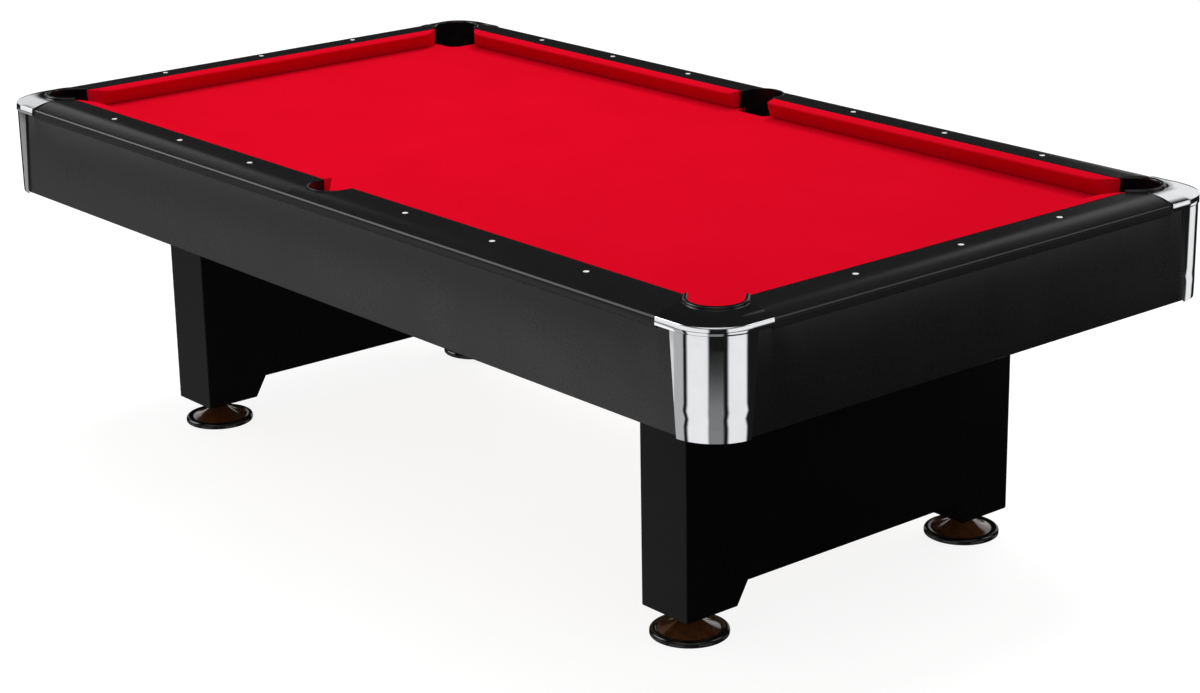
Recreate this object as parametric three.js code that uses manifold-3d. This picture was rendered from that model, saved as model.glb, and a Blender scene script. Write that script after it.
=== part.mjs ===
// Eight-foot drop-pocket pool table: cloth-covered bed and cushions, crowned laminate rails with sights,
// chromed corners, rubber pocket liners, an apron cabinet on beams, and two pedestals on screw levelers.
// Millimetres, +Z up. The origin is on the floor under the table's centre, +X along it and +Y across it.
import * as THREE from 'three';
import { mergeVertices } from 'three/addons/utils/BufferGeometryUtils.js';
import Module from 'manifold-3d';

const wasm = await Module();
wasm.setup();

// Playing field and heights
const PLAY_LENGTH = 2235.2;
const PLAY_WIDTH = 1117.6;
const RAIL_TOP = 785;
const BED_TOP = 742;
const BED_THICKNESS = 19;
const CLOTH_THICKNESS = 1;
const GAP = 0.3;
const CLOTH_TOP = BED_TOP + GAP + CLOTH_THICKNESS;

// Rail section, in u = distance outward from the cushion nose
const RAIL_INNER = 31.8;
const RAIL_FACE = 130;
const CROWN_START = 72;
const CROWN_RADIUS = 120;
const EDGE_RADIUS = 9;
const LIP_BOTTOM = RAIL_TOP - 32.5;
const LIP_INNER = 108;
const RAIL_BOTTOM = CLOTH_TOP + 0.5;
const BED_MARGIN = 104.4;

// Cushion section and mitred ends
const CUSHION_BACK = 31.4;
const NOSE_HEIGHT = 36.1;
const CORNER_NOSE_SETBACK = 82.7;
const CORNER_FACING_SHIFT = 40.3;
const SIDE_NOSE_HALF = 64.5;
const SIDE_FACING_SHIFT = 7.9;
const CUSHION_TOP_DROP = 0.2;
const CUSHION_BASE_INNER = 17;
const NOSE_SHOULDER = [6, 3];
const NOSE_BEVEL = [1.5, 1.6];
const NOSE_UNDERCUT = [1.2, -2.2];

// Sights: three equal steps between pockets, set into the flat of the rail
const SIGHT_STEP = PLAY_LENGTH / 8;
const SIGHT_U = 67;
const SIGHT_RADIUS = 6;
const SIGHT_THICKNESS = 2.7;
const SIGHT_PROUD = 0.3;

// Pockets, in a frame with its origin at the throat's centre and +Y outward
const CORNER_POCKET_OFFSET = 14;
const CORNER_THROAT = 50;
const CORNER_RIM = 60;
const CORNER_ARM = 26;
const CORNER_RIM_TOP = RAIL_TOP + 6;
const SIDE_POCKET_U = 44.2;
const SIDE_THROAT = 51;
const SIDE_RIM = 55;
const SIDE_ARM = 12;
const SIDE_RIM_TOP = RAIL_TOP + 1.5;
const CLEARANCE = 0.4;
const CORNER_HOLE = 56.4;
const SIDE_HOLE = 54.4;
const SIDE_HOLE_INNER = -36;
const BUCKET_TOP = BED_TOP - BED_THICKNESS - 0.6;
const BUCKET_BOTTOM = 625;
const BUCKET_WALL = 5;

// Chromed corners, in u as well: cap face, arc radius and the length of its arms
const CAP_FACE = 134;
const CAP_RADIUS = 100;
const ARC_CENTRE = CAP_FACE - CAP_RADIUS;
const CAP_TOP = RAIL_TOP + 0.6;
const CAP_PLATE = 6;
const CAP_EDGE_DROP = 11.6;
const CAP_BAND_CHAMFER = [1.5, 1.8];
const CAP_BAND_BOTTOM = RAIL_TOP - 27;
const CAP_BAND_WALL = 4.5;
const CAP_ARM_END = -14.7;
const CAP_WELD = 0.01;
const RAIL_END = -15.1;
const SKIRT_FACE = 132;
const SKIRT_WALL = 4;
const SKIRT_BOTTOM = 561;
const SKIRT_EDGE_TOP = 22;
const SKIRT_EDGE_BOTTOM = 38;

// Apron, beams and pedestals
const APRON_FACE = 127.6;
const APRON_THICKNESS = 16;
const APRON_BOTTOM = 563;
const APRON_TOP = LIP_BOTTOM - GAP;
const APRON_END = 33;
const APRON_INNER = APRON_FACE - APRON_THICKNESS;
const STRINGER_Y = 470;
const STRINGER_WIDTH = 40;
const STRINGER_HEIGHT = 59.8;
const BEAM_HEIGHT = 62;
const LEG_X = 851;
const LEG_THICKNESS = 132;
const LEG_WIDTH = 912;
const LEG_BOTTOM = 56.5;
const LEG_WALL = 18;
const NOTCH_TOP = 105;
const NOTCH_HALF_TOP = 293;
const NOTCH_HALF_BOTTOM = 322;
const STRINGER_TOP = BED_TOP - BED_THICKNESS - GAP;
const BEAM_TOP = STRINGER_TOP - STRINGER_HEIGHT - GAP;
const LEG_TOP = BEAM_TOP - BEAM_HEIGHT - GAP;

// Levelers
const FOOT_Y = 390;
const FOOT_RADIUS = 80;
const FOOT_RIM_HEIGHT = 12;
const DISH_RADIUS = 56;
const DISH_HEIGHT = 13;
const HUB_RADIUS = 20;
const HUB_HEIGHT = 34;
const NECK_RADIUS = 10.5;
const NECK_BOTTOM = 38;
const NECK_TOP = 50;
const STUD_RADIUS = 6;
const STUD_TOP = 112;
const STUD_HOLE_RADIUS = 6.6;

const HALF_LENGTH = PLAY_LENGTH / 2;
const HALF_WIDTH = PLAY_WIDTH / 2;

// How far a cutting solid runs past what it cuts
const PAST = 5;

// Facets: sides of a full pocket circle, of a sight, a foot, a turned cap and a stud hole
const ROUND_SIDES = 24;
const SIGHT_SIDES = 8;
const FOOT_SIDES = 20;
const CAP_SIDES = 32;
const STUD_HOLE_SIDES = 16;

// An arc in an outline is cut into twice its divisions, so these match the facets above
const HALF_ROUND_DIVISIONS = ROUND_SIDES / 4;
const SIDE_NOTCH_DIVISIONS = 2;
const EDGE_DIVISIONS = 3;
const CORNER_DIVISIONS = 6;

// Booleans: a geometry becomes a solid, and a solid becomes a geometry again
function solid(geometry) {
  const bare = geometry.clone();
  bare.deleteAttribute('normal');
  bare.deleteAttribute('uv');
  const merged = mergeVertices(bare, 1e-4);
  const vertProperties = new Float32Array(merged.attributes.position.array);
  const triVerts = new Uint32Array(merged.index.array);
  return new wasm.Manifold(new wasm.Mesh({ numProp: 3, vertProperties, triVerts }));
}

function geometryOf(body) {
  const mesh = body.getMesh();
  const geometry = new THREE.BufferGeometry();
  geometry.setAttribute('position', new THREE.BufferAttribute(new Float32Array(mesh.vertProperties), 3));
  geometry.setIndex(new THREE.BufferAttribute(new Uint32Array(mesh.triVerts), 1));
  geometry.computeVertexNormals();
  return geometry;
}

function box(lowX, highX, lowY, highY, lowZ, highZ) {
  const geometry = new THREE.BoxGeometry(highX - lowX, highY - lowY, highZ - lowZ);
  geometry.translate((lowX + highX) / 2, (lowY + highY) / 2, (lowZ + highZ) / 2);
  return geometry;
}

function cylinder(radius, low, high, sides, x = 0, y = 0) {
  const geometry = new THREE.CylinderGeometry(radius, radius, high - low, sides);
  geometry.rotateX(Math.PI / 2);
  geometry.translate(x, y, (low + high) / 2);
  return geometry;
}

function polygon(points) {
  return new THREE.Shape(points.map(([x, y]) => new THREE.Vector2(x, y)));
}

// An outline drawn in plan, raised from low to high
function prism(shape, low, high, curveSegments = HALF_ROUND_DIVISIONS) {
  const options = { depth: high - low, bevelEnabled: false, curveSegments };
  const geometry = new THREE.ExtrudeGeometry(shape, options);
  geometry.translate(0, 0, low);
  return geometry;
}

// A section drawn in (u, z), run along local X from start to end
function moulding(shape, start, end, curveSegments = EDGE_DIVISIONS) {
  const geometry = prism(shape, start, end, curveSegments);
  const axes = new THREE.Matrix4().makeBasis(
    new THREE.Vector3(0, 1, 0),
    new THREE.Vector3(0, 0, 1),
    new THREE.Vector3(1, 0, 0),
  );
  geometry.applyMatrix4(axes);
  return geometry;
}

// A pocket's plan outline: a half circle outward, with two straight arms towards the table
function pocketOutline(radius, arm) {
  const shape = new THREE.Shape();
  shape.moveTo(-radius, -arm);
  shape.lineTo(radius, -arm);
  shape.lineTo(radius, 0);
  shape.absarc(0, 0, radius, 0, Math.PI, false);
  shape.closePath();
  return shape;
}

const table = new THREE.Group();

const finishes = {
  cloth: { color: 0xc8081c, roughness: 0.95, metalness: 0 },
  laminate: { color: 0x141416, roughness: 0.45, metalness: 0 },
  apron: { color: 0x19191b, roughness: 0.55, metalness: 0 },
  chrome: { color: 0xdfe2e6, roughness: 0.08, metalness: 1 },
  rubber: { color: 0x0c0c0d, roughness: 0.6, metalness: 0 },
  board: { color: 0x8a6f4e, roughness: 0.8, metalness: 0 },
  timber: { color: 0xb98f5c, roughness: 0.75, metalness: 0 },
  sight: { color: 0xf2f2ee, roughness: 0.3, metalness: 0 },
  foot: { color: 0x1a0d08, roughness: 0.15, metalness: 0 },
};

function addPart(name, geometry, finish, x = 0, y = 0, turn = 0) {
  const mesh = new THREE.Mesh(geometry, new THREE.MeshStandardMaterial(finishes[finish]));
  mesh.name = name;
  mesh.position.set(x, y, 0);
  mesh.rotation.z = turn;
  table.add(mesh);
}

// The four sides, each with local +Y outward from the cushion nose line
const sides = [
  { name: 'front', x: 0, y: -HALF_WIDTH, turn: Math.PI, long: true },
  { name: 'back', x: 0, y: HALF_WIDTH, turn: 0, long: true },
  { name: 'left', x: -HALF_LENGTH, y: 0, turn: Math.PI / 2, long: false },
  { name: 'right', x: HALF_LENGTH, y: 0, turn: -Math.PI / 2, long: false },
];

// The four corners, each with its origin where two nose lines cross and both local axes outward
const corners = [
  { name: 'front_left', x: -HALF_LENGTH, y: -HALF_WIDTH, turn: Math.PI },
  { name: 'front_right', x: HALF_LENGTH, y: -HALF_WIDTH, turn: -Math.PI / 2 },
  { name: 'back_left', x: -HALF_LENGTH, y: HALF_WIDTH, turn: Math.PI / 2 },
  { name: 'back_right', x: HALF_LENGTH, y: HALF_WIDTH, turn: 0 },
];

// A corner pocket's frame is turned so that its +Y runs out along the corner's diagonal
function intoCorner(geometry) {
  const placed = geometry.clone();
  placed.rotateZ(-Math.PI / 4);
  placed.translate(CORNER_POCKET_OFFSET, CORNER_POCKET_OFFSET, 0);
  return placed;
}

// Bed: a long board notched at the side pockets, a shorter board across each end between the
// corner pockets, and one notched cloth over all three
const CORNER_NOTCH = CORNER_POCKET_OFFSET - CORNER_THROAT - CLEARANCE;
const BED_BOTTOM = BED_TOP - BED_THICKNESS;

function cornerNotch() {
  const past = BED_MARGIN + PAST;
  return polygon([
    [past, past],
    [CORNER_NOTCH, past],
    [CORNER_NOTCH, CORNER_NOTCH],
    [past, CORNER_NOTCH],
  ]);
}

function sideNotch() {
  const past = BED_MARGIN + PAST;
  const turn = Math.asin(-SIDE_HOLE_INNER / SIDE_HOLE);
  const shape = new THREE.Shape();
  shape.moveTo(SIDE_HOLE, past);
  shape.lineTo(-SIDE_HOLE, past);
  shape.absarc(0, SIDE_POCKET_U, SIDE_HOLE, Math.PI, Math.PI + turn, false);
  shape.absarc(0, SIDE_POCKET_U, SIDE_HOLE, -turn, 0, false);
  shape.closePath();
  return shape;
}

function bedSheet(reachX, low, high, notches) {
  const reachY = HALF_WIDTH + BED_MARGIN;
  const sheet = solid(box(-reachX, reachX, -reachY, reachY, low, high));
  const cut = (left, [shape, place]) => {
    const notch = prism(shape, low - PAST, high + PAST, SIDE_NOTCH_DIVISIONS);
    notch.rotateZ(place.turn);
    notch.translate(place.x, place.y, 0);
    return left.subtract(solid(notch));
  };
  return geometryOf(notches.reduce(cut, sheet));
}

const sideNotches = sides.filter((side) => side.long).map((side) => [sideNotch(), side]);
const cornerNotches = corners.map((corner) => [cornerNotch(), corner]);
addPart('bed_board', bedSheet(HALF_LENGTH + CORNER_NOTCH, BED_BOTTOM, BED_TOP, sideNotches), 'board');
for (const side of sides.filter((each) => !each.long)) {
  const reach = HALF_WIDTH + CORNER_NOTCH;
  const board = box(-reach, reach, CORNER_NOTCH + GAP, BED_MARGIN, BED_BOTTOM, BED_TOP);
  addPart(`bed_board_${side.name}`, board, 'board', side.x, side.y, side.turn);
}
const clothNotches = [...sideNotches, ...cornerNotches];
addPart('bed_cloth', bedSheet(HALF_LENGTH + BED_MARGIN, BED_TOP + GAP, CLOTH_TOP, clothNotches), 'cloth');

// Top rails: flat by the cushion, crowned outwards, with a tight round into the face
function railSection() {
  const knee = Math.asin((RAIL_FACE - CROWN_START - EDGE_RADIUS) / (CROWN_RADIUS - EDGE_RADIUS));
  const crownZ = RAIL_TOP - CROWN_RADIUS;
  const edgeZ = crownZ + (CROWN_RADIUS - EDGE_RADIUS) * Math.cos(knee);
  const shape = new THREE.Shape();
  shape.moveTo(RAIL_INNER, RAIL_BOTTOM);
  shape.lineTo(RAIL_INNER, RAIL_TOP);
  shape.lineTo(CROWN_START, RAIL_TOP);
  shape.absarc(CROWN_START, crownZ, CROWN_RADIUS, Math.PI / 2, Math.PI / 2 - knee, true);
  shape.absarc(RAIL_FACE - EDGE_RADIUS, edgeZ, EDGE_RADIUS, Math.PI / 2 - knee, 0, true);
  shape.lineTo(RAIL_FACE, LIP_BOTTOM);
  shape.lineTo(LIP_INNER, LIP_BOTTOM);
  shape.lineTo(LIP_INNER, RAIL_BOTTOM);
  shape.closePath();
  return shape;
}

// The room that a rail, or a cap, leaves around a corner pocket's liner
const cornerMouth = pocketOutline(CORNER_RIM + CLEARANCE, CORNER_ARM + CLEARANCE);

const sightTop = RAIL_TOP + SIGHT_PROUD;
const sightBottom = sightTop - SIGHT_THICKNESS;
const sightSeat = sightBottom - GAP;
const sightSteps = { true: [-3, -2, -1, 1, 2, 3], false: [-1, 0, 1] };

for (const side of sides) {
  const halfSpan = side.long ? HALF_LENGTH : HALF_WIDTH;
  const reach = halfSpan + RAIL_END;
  let rail = solid(moulding(railSection(), -reach, reach));
  for (const end of [-1, 1]) {
    const mouth = prism(cornerMouth, RAIL_BOTTOM - PAST, RAIL_TOP + PAST);
    mouth.rotateZ((-end * Math.PI) / 4);
    mouth.translate(end * (halfSpan + CORNER_POCKET_OFFSET), CORNER_POCKET_OFFSET, 0);
    rail = rail.subtract(solid(mouth));
  }
  if (side.long) {
    const sideMouth = pocketOutline(SIDE_RIM + CLEARANCE, SIDE_POCKET_U - RAIL_INNER + PAST);
    const notch = prism(sideMouth, RAIL_BOTTOM - PAST, RAIL_TOP + PAST);
    notch.translate(0, SIDE_POCKET_U, 0);
    rail = rail.subtract(solid(notch));
  }
  sightSteps[side.long].forEach((step, index) => {
    const along = step * SIGHT_STEP;
    const seatRadius = SIGHT_RADIUS + CLEARANCE;
    const seat = cylinder(seatRadius, sightSeat, RAIL_TOP + PAST, SIGHT_SIDES, along, SIGHT_U);
    rail = rail.subtract(solid(seat));
    const sight = cylinder(SIGHT_RADIUS, sightBottom, sightTop, SIGHT_SIDES, along, SIGHT_U);
    addPart(`sight_${side.name}_${index + 1}`, sight, 'sight', side.x, side.y, side.turn);
  });
  addPart(`rail_${side.name}`, geometryOf(rail), 'laminate', side.x, side.y, side.turn);
}

// Cushions: the nose section, run between two mitred facings
function cushion(start, startShift, end, endShift) {
  const noseZ = CLOTH_TOP + NOSE_HEIGHT;
  const base = RAIL_BOTTOM + GAP;
  const nose = [NOSE_SHOULDER, NOSE_BEVEL, [0, 0], NOSE_UNDERCUT].map(([u, z]) => [u, noseZ + z]);
  const section = polygon([
    [CUSHION_BACK, base],
    [CUSHION_BACK, RAIL_TOP - CUSHION_TOP_DROP],
    ...nose,
    [CUSHION_BASE_INNER, base],
  ]);
  const geometry = moulding(section, 0, 1);
  const position = geometry.attributes.position;
  for (let i = 0; i < position.count; i += 1) {
    const depth = position.getY(i) / CUSHION_BACK;
    const atEnd = position.getX(i) > 0.5;
    position.setX(i, atEnd ? end + endShift * depth : start - startShift * depth);
  }
  geometry.computeVertexNormals();
  return geometry;
}

for (const side of sides) {
  if (side.long) {
    const far = HALF_LENGTH - CORNER_NOSE_SETBACK;
    const plus = cushion(SIDE_NOSE_HALF, SIDE_FACING_SHIFT, far, CORNER_FACING_SHIFT);
    const minus = cushion(-far, CORNER_FACING_SHIFT, -SIDE_NOSE_HALF, SIDE_FACING_SHIFT);
    const flipped = side.name === 'front';
    addPart(`cushion_${side.name}_right`, flipped ? minus : plus, 'cloth', side.x, side.y, side.turn);
    addPart(`cushion_${side.name}_left`, flipped ? plus : minus, 'cloth', side.x, side.y, side.turn);
  } else {
    const far = HALF_WIDTH - CORNER_NOSE_SETBACK;
    const whole = cushion(-far, CORNER_FACING_SHIFT, far, CORNER_FACING_SHIFT);
    addPart(`cushion_${side.name}`, whole, 'cloth', side.x, side.y, side.turn);
  }
}

// Pocket liners: a U-shaped wall from the bed up to the rim, and a bucket under the bed
function pocketLiner(throat, rim, arm, holeRadius, rimTop) {
  const upper = solid(prism(pocketOutline(rim, arm), RAIL_BOTTOM + GAP, rimTop));
  const joining = pocketOutline(holeRadius - CLEARANCE, 0);
  const throughBed = solid(prism(joining, BUCKET_TOP - PAST, RAIL_BOTTOM + 2 * GAP));
  const bucket = solid(cylinder(rim, BUCKET_BOTTOM, BUCKET_TOP, ROUND_SIDES));
  const way = solid(prism(pocketOutline(throat, arm + PAST), BUCKET_TOP - PAST, rimTop + PAST));
  const inside = solid(cylinder(throat, BUCKET_BOTTOM + BUCKET_WALL, BUCKET_TOP + PAST, ROUND_SIDES));
  return geometryOf(upper.add(throughBed).add(bucket).subtract(way).subtract(inside));
}

for (const corner of corners) {
  const liner = pocketLiner(CORNER_THROAT, CORNER_RIM, CORNER_ARM, CORNER_HOLE, CORNER_RIM_TOP);
  addPart(`pocket_${corner.name}`, intoCorner(liner), 'rubber', corner.x, corner.y, corner.turn);
}
for (const side of sides.filter((s) => s.long)) {
  const liner = pocketLiner(SIDE_THROAT, SIDE_RIM, SIDE_ARM, SIDE_HOLE, SIDE_RIM_TOP);
  liner.translate(0, SIDE_POCKET_U, 0);
  addPart(`pocket_side_${side.name}`, liner, 'rubber', side.x, side.y, side.turn);
}

// Corner caps: a plate that falls away to a vertical band, carried round the corner on one arc
const capFall = CAP_RADIUS - CAP_BAND_CHAMFER[0] - (CROWN_START - ARC_CENTRE);
const capCurve = (capFall ** 2 + CAP_EDGE_DROP ** 2) / (2 * CAP_EDGE_DROP);

function capSection(inner) {
  const flatEnd = CROWN_START - ARC_CENTRE;
  const sweep = Math.asin(capFall / capCurve);
  const shape = new THREE.Shape();
  shape.moveTo(inner, CAP_TOP - CAP_PLATE);
  shape.lineTo(inner, CAP_TOP);
  shape.lineTo(flatEnd, CAP_TOP);
  shape.absarc(flatEnd, CAP_TOP - capCurve, capCurve, Math.PI / 2, Math.PI / 2 - sweep, true);
  shape.lineTo(CAP_RADIUS, CAP_TOP - CAP_EDGE_DROP - CAP_BAND_CHAMFER[1]);
  shape.lineTo(CAP_RADIUS, CAP_BAND_BOTTOM);
  shape.lineTo(CAP_RADIUS - CAP_BAND_WALL, CAP_BAND_BOTTOM);
  shape.lineTo(CAP_RADIUS - CAP_BAND_WALL, CAP_TOP - CAP_EDGE_DROP - CAP_PLATE);
  shape.lineTo(flatEnd, CAP_TOP - CAP_PLATE);
  shape.closePath();
  return shape;
}

function cornerCap() {
  const outline = capSection(0).extractPoints(EDGE_DIVISIONS).shape.reverse();
  const turned = new THREE.LatheGeometry([...outline, outline[0].clone()], CAP_SIDES);
  turned.rotateX(Math.PI / 2);
  turned.translate(ARC_CENTRE, ARC_CENTRE, 0);
  const far = CAP_FACE + PAST;
  const quadrant = box(ARC_CENTRE, far, ARC_CENTRE, far, CAP_BAND_BOTTOM - PAST, CAP_TOP + PAST);
  const round = solid(turned).intersect(solid(quadrant));
  const joint = ARC_CENTRE + CAP_WELD;
  const armAlongX = moulding(capSection(RAIL_INNER - ARC_CENTRE), CAP_ARM_END, joint);
  armAlongX.translate(0, ARC_CENTRE, 0);
  const armAlongY = moulding(capSection(RAIL_INNER - ARC_CENTRE), -joint, -CAP_ARM_END);
  armAlongY.rotateZ(-Math.PI / 2);
  armAlongY.translate(ARC_CENTRE, 0, 0);
  const mouth = solid(intoCorner(prism(cornerMouth, CAP_BAND_BOTTOM, CAP_TOP + PAST)));
  return geometryOf(round.add(solid(armAlongX)).add(solid(armAlongY)).subtract(mouth));
}

// Apron corners: an L-shaped shell on the same arc, its side edges drawn in towards the bottom
function apronCorner() {
  const outerRadius = SKIRT_FACE - ARC_CENTRE;
  const innerRadius = outerRadius - SKIRT_WALL;
  const inner = SKIRT_FACE - SKIRT_WALL;
  const start = SKIRT_EDGE_TOP - 2;
  const top = CAP_BAND_BOTTOM - GAP;
  const shape = new THREE.Shape();
  shape.moveTo(start, inner);
  shape.lineTo(ARC_CENTRE, inner);
  shape.absarc(ARC_CENTRE, ARC_CENTRE, innerRadius, Math.PI / 2, 0, true);
  shape.lineTo(inner, start);
  shape.lineTo(SKIRT_FACE, start);
  shape.lineTo(SKIRT_FACE, ARC_CENTRE);
  shape.absarc(ARC_CENTRE, ARC_CENTRE, outerRadius, 0, Math.PI / 2, false);
  shape.lineTo(start, SKIRT_FACE);
  shape.closePath();
  const slope = (SKIRT_EDGE_BOTTOM - SKIRT_EDGE_TOP) / (SKIRT_BOTTOM - top);
  const edgeAt = (z) => SKIRT_EDGE_TOP + slope * (z - top);
  const waste = polygon([
    [start - PAST, SKIRT_BOTTOM - PAST],
    [edgeAt(SKIRT_BOTTOM - PAST), SKIRT_BOTTOM - PAST],
    [edgeAt(top + PAST), top + PAST],
    [start - PAST, top + PAST],
  ]);
  const shell = solid(prism(shape, SKIRT_BOTTOM, top, CORNER_DIVISIONS));
  const besideArmY = moulding(waste, ARC_CENTRE + PAST, CAP_FACE + PAST);
  const besideArmX = moulding(waste, -CAP_FACE - PAST, -ARC_CENTRE - PAST);
  besideArmX.rotateZ(-Math.PI / 2);
  return geometryOf(shell.subtract(solid(besideArmY)).subtract(solid(besideArmX)));
}

for (const corner of corners) {
  addPart(`corner_cap_${corner.name}`, cornerCap(), 'chrome', corner.x, corner.y, corner.turn);
  addPart(`apron_corner_${corner.name}`, apronCorner(), 'chrome', corner.x, corner.y, corner.turn);
}

// Aprons
for (const side of sides) {
  const reach = (side.long ? HALF_LENGTH : HALF_WIDTH) + APRON_END;
  const board = box(-reach, reach, APRON_INNER, APRON_FACE, APRON_BOTTOM, APRON_TOP);
  addPart(`apron_${side.name}`, board, 'apron', side.x, side.y, side.turn);
}

// Beams: stringers along the table carry the bed, and cross beams under them sit on the pedestals
for (const [name, y] of [['front', -STRINGER_Y], ['back', STRINGER_Y]]) {
  const reach = HALF_LENGTH + APRON_INNER - GAP;
  const half = STRINGER_WIDTH / 2;
  const beam = box(-reach, reach, -half, half, STRINGER_TOP - STRINGER_HEIGHT, STRINGER_TOP);
  addPart(`stringer_${name}`, beam, 'timber', 0, y);
}

// Pedestals: hollow boxes, open at the top under the beam, with a trapezoid notch in the bottom edge
function pedestal() {
  const half = LEG_WIDTH / 2;
  const inside = half - LEG_WALL;
  const floor = LEG_BOTTOM + LEG_WALL;
  const outline = polygon([
    [-half, LEG_BOTTOM],
    [-NOTCH_HALF_BOTTOM, LEG_BOTTOM],
    [-NOTCH_HALF_TOP, NOTCH_TOP],
    [NOTCH_HALF_TOP, NOTCH_TOP],
    [NOTCH_HALF_BOTTOM, LEG_BOTTOM],
    [half, LEG_BOTTOM],
    [half, LEG_TOP],
    [-half, LEG_TOP],
  ]);
  const hollow = polygon([
    [-inside, floor],
    [-NOTCH_HALF_BOTTOM - LEG_WALL, floor],
    [-NOTCH_HALF_TOP - LEG_WALL, NOTCH_TOP + LEG_WALL],
    [NOTCH_HALF_TOP + LEG_WALL, NOTCH_TOP + LEG_WALL],
    [NOTCH_HALF_BOTTOM + LEG_WALL, floor],
    [inside, floor],
    [inside, LEG_TOP + PAST],
    [-inside, LEG_TOP + PAST],
  ]);
  const halfThick = LEG_THICKNESS / 2;
  const shell = solid(moulding(outline, -halfThick, halfThick));
  let body = shell.subtract(solid(moulding(hollow, LEG_WALL - halfThick, halfThick - LEG_WALL)));
  for (const y of [-FOOT_Y, FOOT_Y]) {
    const hole = cylinder(STUD_HOLE_RADIUS, LEG_BOTTOM - PAST, floor + PAST, STUD_HOLE_SIDES, 0, y);
    body = body.subtract(solid(hole));
  }
  return geometryOf(body);
}

// Levelers: a disc foot with a rounded rim and a raised centre, its neck and its stud in one
function leveler() {
  const edge = 3;
  const midRadius = (DISH_RADIUS + HUB_RADIUS) / 2 - edge;
  const midHeight = (DISH_HEIGHT + HUB_HEIGHT) / 2;
  const profile = [
    [0, 0],
    [FOOT_RADIUS - edge, 0],
    [FOOT_RADIUS, edge],
    [FOOT_RADIUS, FOOT_RIM_HEIGHT - edge],
    [FOOT_RADIUS - edge, FOOT_RIM_HEIGHT],
    [DISH_RADIUS + 4 * edge, FOOT_RIM_HEIGHT - 1],
    [DISH_RADIUS, DISH_HEIGHT],
    [midRadius, midHeight],
    [HUB_RADIUS, HUB_HEIGHT],
    [NECK_RADIUS, NECK_BOTTOM],
    [NECK_RADIUS, NECK_TOP],
    [STUD_RADIUS, NECK_TOP],
    [STUD_RADIUS, STUD_TOP],
    [0, STUD_TOP],
  ];
  const geometry = new THREE.LatheGeometry(profile.map(([r, z]) => new THREE.Vector2(r, z)), FOOT_SIDES);
  geometry.rotateX(Math.PI / 2);
  return geometry;
}

for (const [name, x] of [['left', -LEG_X], ['right', LEG_X]]) {
  const half = LEG_THICKNESS / 2;
  const reach = HALF_WIDTH + APRON_INNER - GAP;
  const beam = box(-half, half, -reach, reach, BEAM_TOP - BEAM_HEIGHT, BEAM_TOP);
  addPart(`cross_beam_${name}`, beam, 'timber', x, 0);
  addPart(`pedestal_${name}`, pedestal(), 'apron', x, 0);
  addPart(`leveler_${name}_front`, leveler(), 'foot', x, -FOOT_Y);
  addPart(`leveler_${name}_back`, leveler(), 'foot', x, FOOT_Y);
}

export default table;
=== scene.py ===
import math

import bmesh
import bpy
from mathutils import Matrix, Vector, noise


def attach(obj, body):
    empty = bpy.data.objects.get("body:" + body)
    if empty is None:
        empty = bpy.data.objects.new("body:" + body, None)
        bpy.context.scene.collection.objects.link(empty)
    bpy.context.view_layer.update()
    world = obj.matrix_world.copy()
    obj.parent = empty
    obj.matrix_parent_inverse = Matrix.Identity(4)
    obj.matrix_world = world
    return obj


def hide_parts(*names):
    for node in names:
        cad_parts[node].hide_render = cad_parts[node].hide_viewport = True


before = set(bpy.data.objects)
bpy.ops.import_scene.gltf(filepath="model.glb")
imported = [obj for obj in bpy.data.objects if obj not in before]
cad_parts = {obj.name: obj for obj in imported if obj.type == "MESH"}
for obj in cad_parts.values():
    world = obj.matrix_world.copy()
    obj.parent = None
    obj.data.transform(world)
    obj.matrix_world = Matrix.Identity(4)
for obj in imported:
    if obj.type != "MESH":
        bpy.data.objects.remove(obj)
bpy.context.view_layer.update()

# Sizes repeated from part.mjs, in millimetres. u is the distance outward from the cushion nose line.
# Each END is measured along a side, from the point where two nose lines cross.
MM = 0.001
HALF_LENGTH = 1117.6
HALF_WIDTH = 558.8
RAIL_TOP = 785.0
CLOTH_TOP = 743.3
GAP = 0.3
RAIL_BOTTOM = 743.8
RAIL_INNER = 31.8
RAIL_FACE = 130.0
CROWN_START = 72.0
CROWN_RADIUS = 120.0
EDGE_RADIUS = 9.0
LIP_BOTTOM = 752.5
LIP_INNER = 108.0
BED_MARGIN = 104.4
CUSHION_BACK = 31.4
NOSE_Z = CLOTH_TOP + 36.1
CORNER_NOSE_SETBACK = 82.7
CORNER_FACING_SHIFT = 40.3
SIDE_NOSE_HALF = 64.5
SIDE_FACING_SHIFT = 7.9
CUSHION_TOP = RAIL_TOP - 0.2
POCKET_OFFSET = 14.0
CORNER_THROAT = 50.0
CORNER_RIM = 60.0
CORNER_RIM_TOP = RAIL_TOP + 6.0
CORNER_ARM = 26.0
CORNER_HOLE = 56.4
SIDE_POCKET_U = 44.2
SIDE_THROAT = 51.0
SIDE_RIM = 55.0
SIDE_RIM_TOP = RAIL_TOP + 1.5
SIDE_ARM = 12.0
SIDE_HOLE = 54.4
SIDE_HOLE_INNER = -36.0
CLEARANCE = 0.4
RAIL_END = -15.1
CAP_ARM_END = -14.7
ARC_CENTRE = 34.0
CAP_RADIUS = 100.0
CAP_TOP = RAIL_TOP + 0.6
CAP_PLATE = 6.0
CAP_DROP = 11.6
CAP_WALL = 4.5
BAND_BOTTOM = 758.0
SKIRT_RADIUS = 98.0
SKIRT_WALL = 4.0
SKIRT_EDGE_TOP = 22.0
SKIRT_EDGE_BOTTOM = 38.0
APRON_INNER = 111.6
APRON_FACE = 127.6
APRON_BOTTOM = 563.0
APRON_TOP = 752.2
SKIRT_BOTTOM = 561.0
BUCKET_TOP = 722.4
BUCKET_BOTTOM = 625.0
SIGHT_STEP = 279.4
SIGHT_U = 67.0
SIGHT_RADIUS = 6.0
SIGHT_TOP = RAIL_TOP + 0.3
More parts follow.
